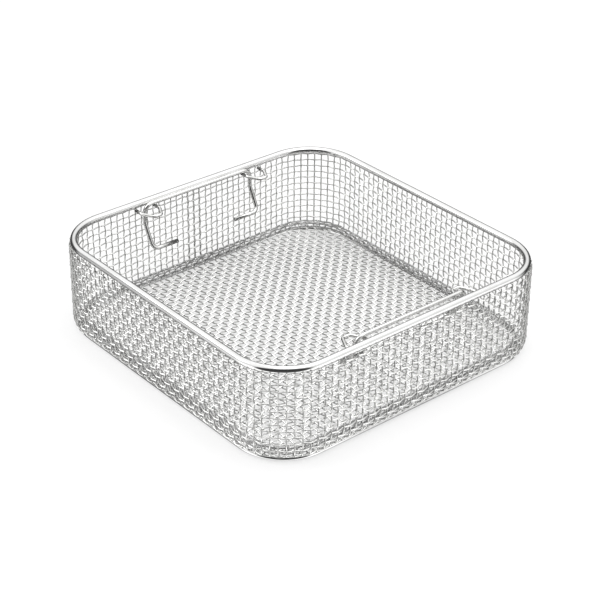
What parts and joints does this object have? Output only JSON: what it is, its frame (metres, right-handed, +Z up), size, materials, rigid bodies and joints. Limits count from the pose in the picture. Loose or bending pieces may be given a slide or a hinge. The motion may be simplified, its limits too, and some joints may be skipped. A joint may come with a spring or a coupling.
{
  "type": "autoclave basket",
  "caption": "Square woven-wire basket with rounded corners, a rim rod, a base rod and two bent-wire handles that lift through guide loops.",
  "frame": {"origin": "centre of the base, at the underside of the base rod", "axes": "+Z up; the walls that carry the handles face -X (rear) and +X (front)"},
  "size_m": [0.2528, 0.2478, 0.0708],
  "materials": {
    "polished_rod": "electropolished stainless steel rod, bright with soft reflections",
    "woven_wire": "electropolished crimped stainless steel wire",
    "handle_wire": "electropolished bent stainless steel wire",
    "loop_wire": "electropolished bent stainless steel wire"
  },
  "bodies": {
    "basket": {"rim_ring": "polished_rod", "base_ring": "polished_rod", "wall_mesh": "woven_wire", "floor_mesh": "woven_wire", "rear_guide_loop_left": "loop_wire", "rear_guide_loop_right": "loop_wire", "front_guide_loop_left": "loop_wire", "front_guide_loop_right": "loop_wire"},
    "rear_handle": {"rear_handle": "handle_wire"},
    "front_handle": {"front_handle": "handle_wire"}
  },
  "joints": [
    {"name": "rear_handle_lift", "type": "slide", "parent": "basket", "child": "rear_handle", "axis": [0, 0, 1], "range_m": [0, 0.025]},
    {"name": "front_handle_lift", "type": "slide", "parent": "basket", "child": "front_handle", "axis": [0, 0, 1], "range_m": [0, 0.0268]}
  ]
}
